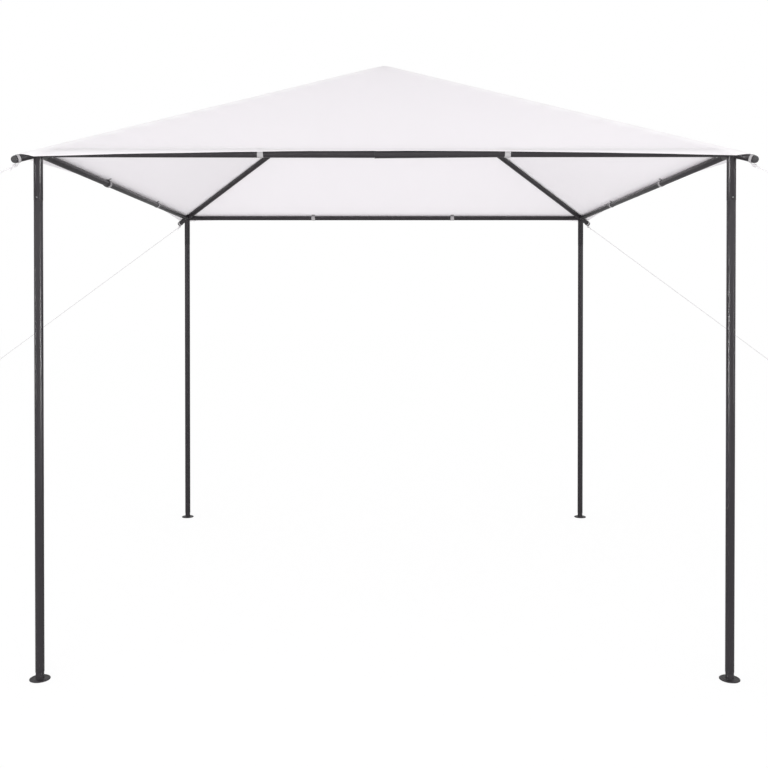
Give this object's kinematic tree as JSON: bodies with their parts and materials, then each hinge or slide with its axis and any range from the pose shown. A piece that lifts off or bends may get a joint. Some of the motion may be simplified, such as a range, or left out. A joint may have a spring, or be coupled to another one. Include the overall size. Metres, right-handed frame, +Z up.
{
  "type": "garden gazebo with a fabric roof",
  "caption": "Square garden gazebo: a dark tube frame with a stretched white fabric roof, taut guy ropes and ground pegs, open on all sides.",
  "frame": {"origin": "on the ground under the middle of the roof, midway between the four posts", "axes": "+Z up, X along the front, +Y from the front to the rear"},
  "size_m": [10.2462, 6.324, 3.0501],
  "materials": {
    "frame_paint": "semi-gloss powder coat, dark grey",
    "cap_plastic": "moulded, satin",
    "fabric": "coated plain-weave polyester, white",
    "strap_webbing": "woven strap, off-white outside, with a dark hook-and-loop lining",
    "rope": "braided cord, white, with a plastic slider",
    "peg_wire": "zinc-plated wire"
  },
  "bodies": {
    "root": {"corner_fitting_front_left": "frame_paint", "corner_fitting_front_right": "frame_paint", "corner_fitting_rear_left": "frame_paint", "corner_fitting_rear_right": "frame_paint", "crown_hub": "frame_paint", "foot_plate_front_left": "frame_paint", "foot_plate_front_right": "frame_paint", "foot_plate_rear_left": "frame_paint", "foot_plate_rear_right": "frame_paint", "ground_peg_front_left": "peg_wire", "ground_peg_front_right": "peg_wire", "ground_peg_rear_left": "peg_wire", "ground_peg_rear_right": "peg_wire", "guy_rope_front_left": "rope", "guy_rope_front_right": "rope", "guy_rope_rear_left": "rope", "guy_rope_rear_right": "rope", "header_front_a": "frame_paint", "header_front_b": "frame_paint", "header_left_a": "frame_paint", "header_left_b": "frame_paint", "header_rear_a": "frame_paint", "header_rear_b": "frame_paint", "header_right_a": "frame_paint", "header_right_b": "frame_paint", "hem_strap_front_1": "strap_webbing", "hem_strap_front_2": "strap_webbing", "hem_strap_left_1": "strap_webbing", "hem_strap_left_2": "strap_webbing", "hem_strap_rear_1": "strap_webbing", "hem_strap_rear_2": "strap_webbing", "hem_strap_right_1": "strap_webbing", "hem_strap_right_2": "strap_webbing", "hip_tube_front_left": "frame_paint", "hip_tube_front_right": "frame_paint", "hip_tube_rear_left": "frame_paint", "hip_tube_rear_right": "frame_paint", "post_front_left": "frame_paint", "post_front_right": "frame_paint", "post_rear_left": "frame_paint", "post_rear_right": "frame_paint", "roof_fabric": "fabric", "tail_cap_front_left": "cap_plastic", "tail_cap_front_right": "cap_plastic", "tail_cap_rear_left": "cap_plastic", "tail_cap_rear_right": "cap_plastic"}
  },
  "joints": []
}
